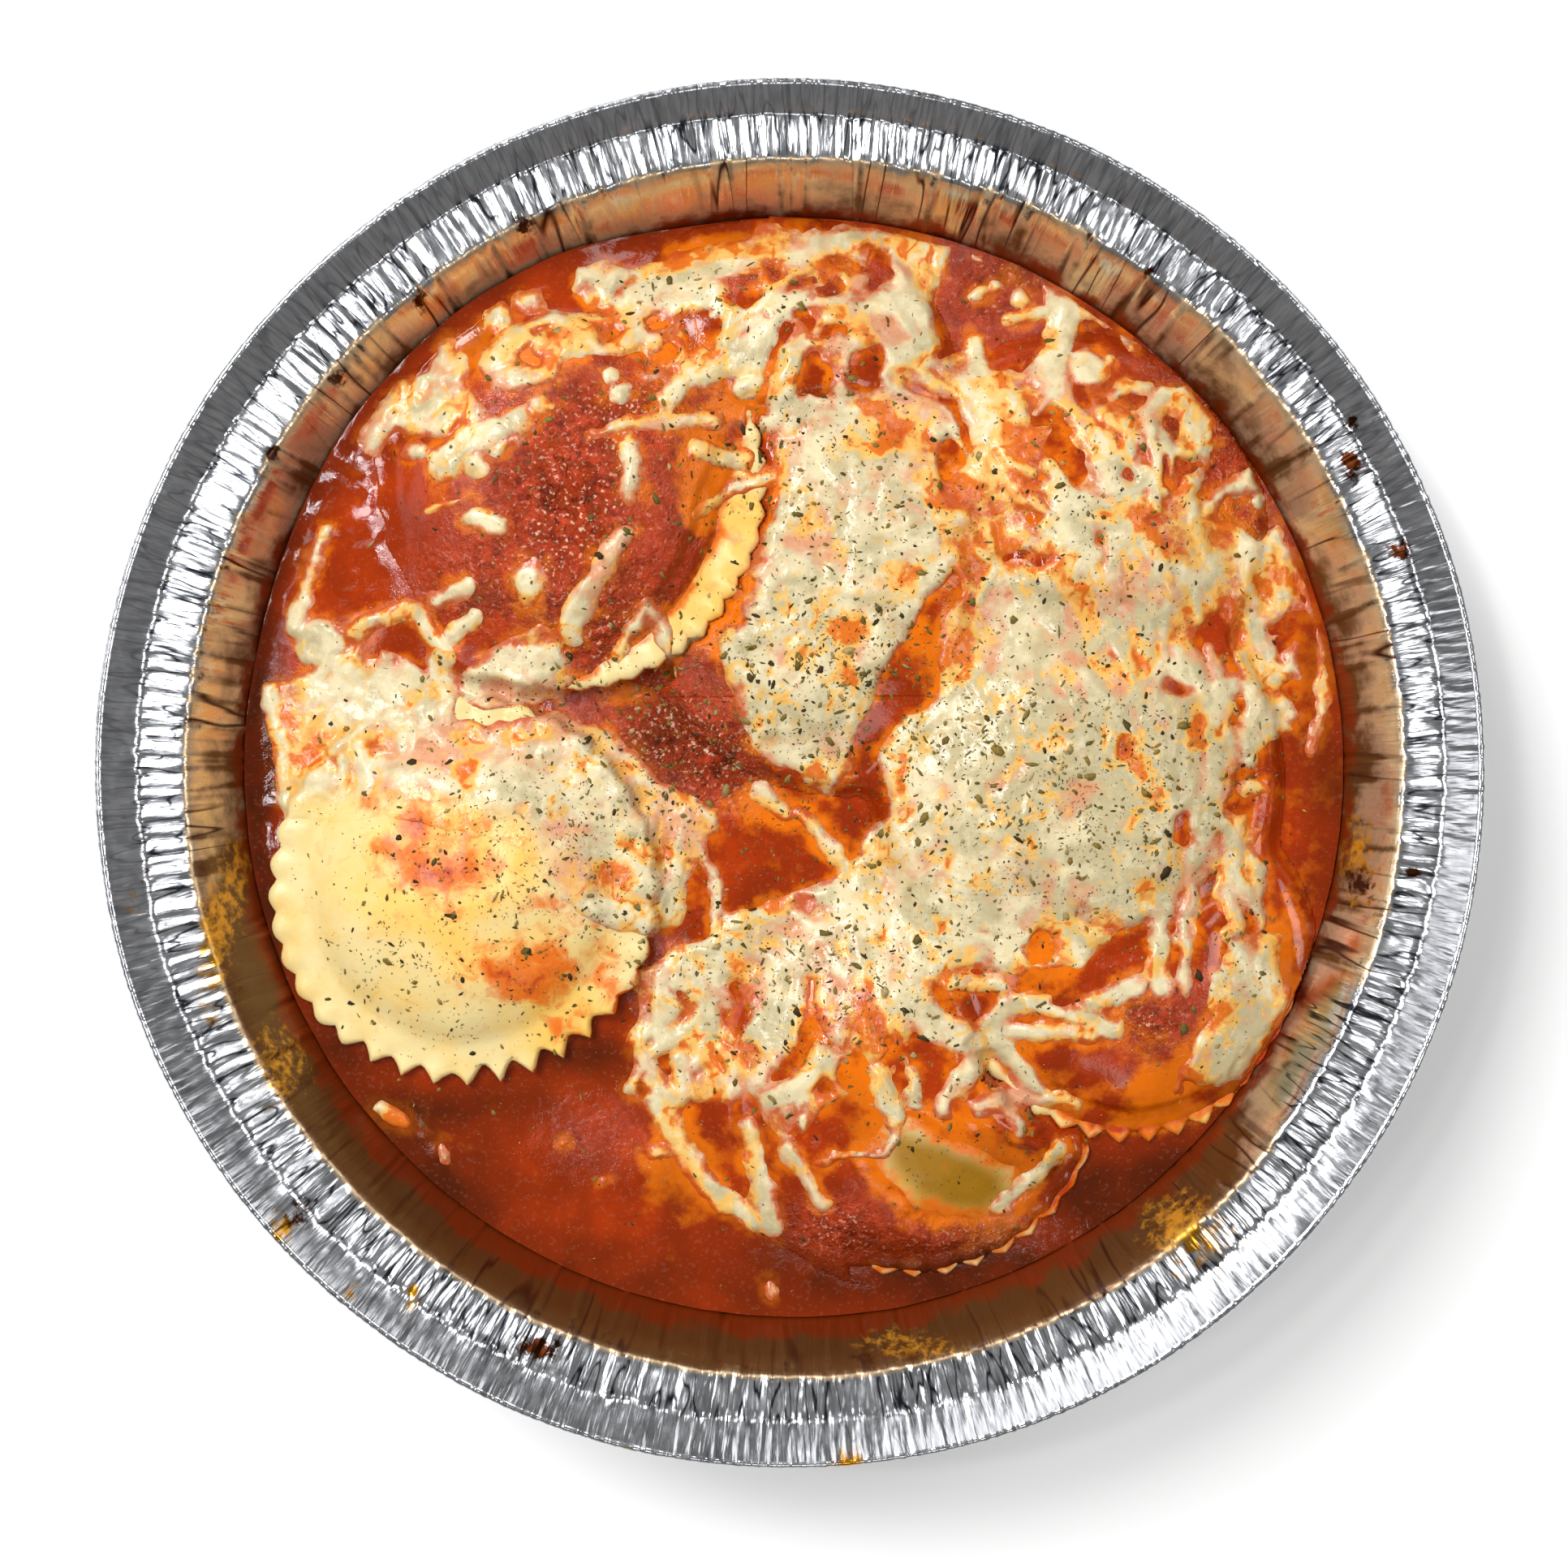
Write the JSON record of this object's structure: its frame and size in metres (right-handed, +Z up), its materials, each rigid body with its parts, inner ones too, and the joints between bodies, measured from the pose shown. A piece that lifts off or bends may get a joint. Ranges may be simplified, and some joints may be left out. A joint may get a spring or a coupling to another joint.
{
  "type": "tray of baked cheese ravioli",
  "caption": "Round foil pan of large toothed-edge ravioli in tomato sauce under melted cheese and herbs.",
  "frame": {"origin": "middle of the pan's flat base, on the surface it stands on", "axes": "+Z up, +Y to the far side of the pan as pictured, +X to its right"},
  "size_m": [0.2352, 0.2352, 0.0446],
  "materials": {
    "foil": "thin crinkled foil, grease stained inside",
    "sauce": "wet tomato sauce with oil",
    "pasta": "cooked egg pasta, oily",
    "cheese": "melted mozzarella, soft gloss",
    "herbs": "dried herb flakes and ground pepper"
  },
  "bodies": {
    "root": {"foil_pan": "foil", "sauce": "sauce", "ravioli_upper_left": "pasta", "ravioli_right": "pasta", "ravioli_middle": "pasta", "ravioli_upper_right": "pasta", "ravioli_top": "pasta", "ravioli_left": "pasta", "ravioli_lower_right": "pasta", "ravioli_bottom": "pasta", "cheese_1": "cheese", "cheese_2": "cheese"}
  },
  "joints": []
}
